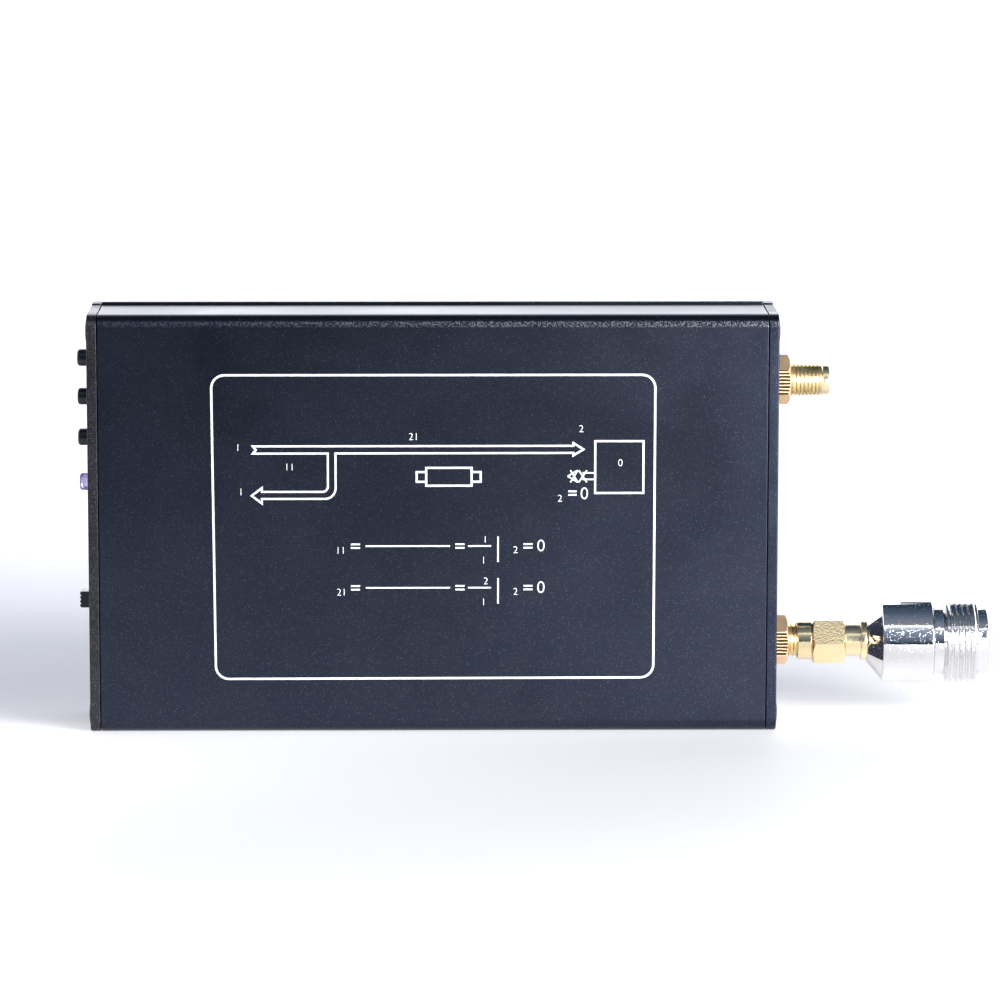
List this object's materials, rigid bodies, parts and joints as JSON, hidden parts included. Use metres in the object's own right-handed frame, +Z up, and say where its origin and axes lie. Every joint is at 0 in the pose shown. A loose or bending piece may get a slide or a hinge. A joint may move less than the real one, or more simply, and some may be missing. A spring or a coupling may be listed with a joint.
{
  "type": "antenna analyzer",
  "caption": "Flat handheld meter for antennas in a dark metal case, with threaded radio ports, a screw-on adapter, push buttons, a slide switch and a display window.",
  "frame": {"origin": "middle of the long side that the case stands on", "axes": "+X along the case towards the radio ports, +Y from the plain rear face to the display, +Z up from the side it stands on"},
  "size_m": [0.1672, 0.023, 0.0768],
  "materials": {
    "case_metal": "bead-blasted and anodised in a dark blue-grey",
    "black_steel": "black oxide, satin",
    "steel": "plain, satin",
    "tinned_steel": "tin plated, slightly dull",
    "foam": "matt black foam",
    "cover_glass": "clear and polished",
    "display_black": "dark display surface, switched off",
    "black_plastic": "fine matt",
    "button_plastic": "satin black",
    "white_plastic": "satin, off-white",
    "clear_plastic": "clear with a faint violet tint",
    "ribbon_film": "amber film",
    "board_laminate": "dark green solder mask",
    "battery_foil": "foil pouch",
    "lead_jacket": "soft coloured insulation",
    "seal_rubber": "matt",
    "gold_plate": "gold plated and polished",
    "nickel_plate": "bright nickel plate on brass",
    "white_insulator": "waxy white"
  },
  "bodies": {
    "case": {"rear_shell": "case_metal", "front_shell": "case_metal", "left_end_plate": "case_metal", "right_end_plate": "case_metal", "left_plate_screws": "black_steel", "right_plate_screws": "black_steel", "window_gasket": "foam", "touch_glass": "cover_glass", "display_module": "display_black", "display_carrier": "black_plastic", "display_screws": "steel", "display_header": "black_plastic", "display_ribbon": "ribbon_film", "main_board": "board_laminate", "shield_can_upper": "tinned_steel", "shield_can_lower": "tinned_steel", "shield_can_mixer": "tinned_steel", "processor_chip": "black_plastic", "crystal_can": "steel", "battery_pad": "foam", "battery_cell": "battery_foil", "battery_socket": "white_plastic", "battery_plug": "white_plastic", "battery_leads": "lead_jacket", "button_top_housing": "black_plastic", "button_middle_housing": "black_plastic", "button_bottom_housing": "black_plastic", "button_domes": "steel", "indicator_lens": "clear_plastic", "indicator_legs": "steel", "charging_shell": "steel", "charging_tongue": "black_plastic", "power_switch_housing": "steel", "port_upper_jack": "gold_plate", "port_upper_insulator": "white_insulator", "port_upper_contact": "gold_plate", "port_upper_washer": "gold_plate", "port_upper_nut": "gold_plate", "port_lower_jack": "gold_plate", "port_lower_insulator": "white_insulator", "port_lower_contact": "gold_plate", "port_lower_washer": "gold_plate", "port_lower_nut": "gold_plate"},
    "top_button": {"button_top_plunger": "button_plastic"},
    "middle_button": {"button_middle_plunger": "button_plastic"},
    "bottom_button": {"button_bottom_plunger": "button_plastic"},
    "switch_knob": {"power_switch_knob": "button_plastic"},
    "adapter": {"adapter_plug_body": "gold_plate", "adapter_seal_ring": "seal_rubber", "adapter_retaining_ring": "steel", "adapter_plug_insulator": "white_insulator", "adapter_plug_pin": "gold_plate", "adapter_barrel": "nickel_plate", "adapter_socket_insulator": "white_insulator", "adapter_pin_sleeve": "white_insulator", "adapter_socket_contact": "gold_plate"},
    "coupling_nut": {"adapter_coupling_nut": "gold_plate"}
  },
  "joints": [
    {"name": "top_button_press", "type": "slide", "parent": "case", "child": "top_button", "axis": [1, 0, 0], "range_m": [0, 0.0003], "stiffness_N_per_m": 2000, "springref_m": -0.0003},
    {"name": "middle_button_press", "type": "slide", "parent": "case", "child": "middle_button", "axis": [1, 0, 0], "range_m": [0, 0.0003], "stiffness_N_per_m": 2000, "springref_m": -0.0003},
    {"name": "bottom_button_press", "type": "slide", "parent": "case", "child": "bottom_button", "axis": [1, 0, 0], "range_m": [0, 0.0003], "stiffness_N_per_m": 2000, "springref_m": -0.0003},
    {"name": "power_switch_slide", "type": "slide", "parent": "case", "child": "switch_knob", "axis": [0, 0, 1], "range_m": [0, 0.002]},
    {"name": "adapter_withdraw", "type": "slide", "parent": "case", "child": "adapter", "axis": [1, 0, 0], "range_m": [0, 0.00548]},
    {"name": "coupling_nut_turn", "type": "hinge", "parent": "adapter", "child": "coupling_nut", "pos_m": [0.0715, 0.003, 0.0144], "axis": [1, 0, 0], "range_deg": [0, 2800]}
  ],
  "couplings": [
    {"joint": "coupling_nut_turn", "follows": "adapter_withdraw", "rad_per_m": 8904.6}
  ]
}
